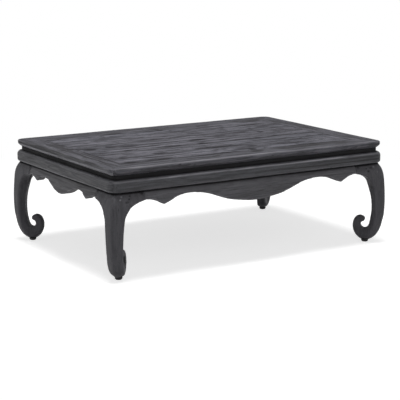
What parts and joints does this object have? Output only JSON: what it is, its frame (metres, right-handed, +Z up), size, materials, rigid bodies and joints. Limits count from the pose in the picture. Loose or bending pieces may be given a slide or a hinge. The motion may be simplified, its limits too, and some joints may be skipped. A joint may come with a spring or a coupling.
{
  "type": "kang table",
  "caption": "Low rectangular table with a mitred panel top, recessed waist, thick moulding, cusped bulging aprons and inward-curling scroll feet.",
  "frame": {"origin": "centre of the table's outline at the level of the floor", "axes": "+X along the long side, +Y from the front long side to the back one, +Z up"},
  "size_m": [1.2216, 0.8296, 0.4045],
  "materials": {
    "panel_wood": "satin",
    "frame_wood": "satin",
    "waist_wood": "satin",
    "body_wood": "satin",
    "pad_wood": "matte",
    "inner_wood": "matte"
  },
  "bodies": {
    "root": {"top_rail_front": "frame_wood", "top_rail_back": "frame_wood", "end_rail_left": "frame_wood", "end_rail_right": "frame_wood", "panel_board_1": "panel_wood", "panel_board_2": "panel_wood", "panel_board_3": "panel_wood", "panel_board_4": "panel_wood", "panel_board_5": "panel_wood", "panel_board_6": "panel_wood", "batten_left": "inner_wood", "batten_centre": "inner_wood", "batten_right": "inner_wood", "waist_front": "waist_wood", "waist_back": "waist_wood", "waist_left": "waist_wood", "waist_right": "waist_wood", "base_moulding_front": "body_wood", "base_moulding_back": "body_wood", "base_moulding_left": "body_wood", "base_moulding_right": "body_wood", "apron_front": "body_wood", "apron_back": "body_wood", "apron_left": "body_wood", "apron_right": "body_wood", "leg_front_left": "body_wood", "leg_front_right": "body_wood", "leg_back_left": "body_wood", "leg_back_right": "body_wood", "foot_pad_front_left": "pad_wood", "foot_pad_front_right": "pad_wood", "foot_pad_back_left": "pad_wood", "foot_pad_back_right": "pad_wood", "apron_pegs": "inner_wood"}
  },
  "joints": []
}
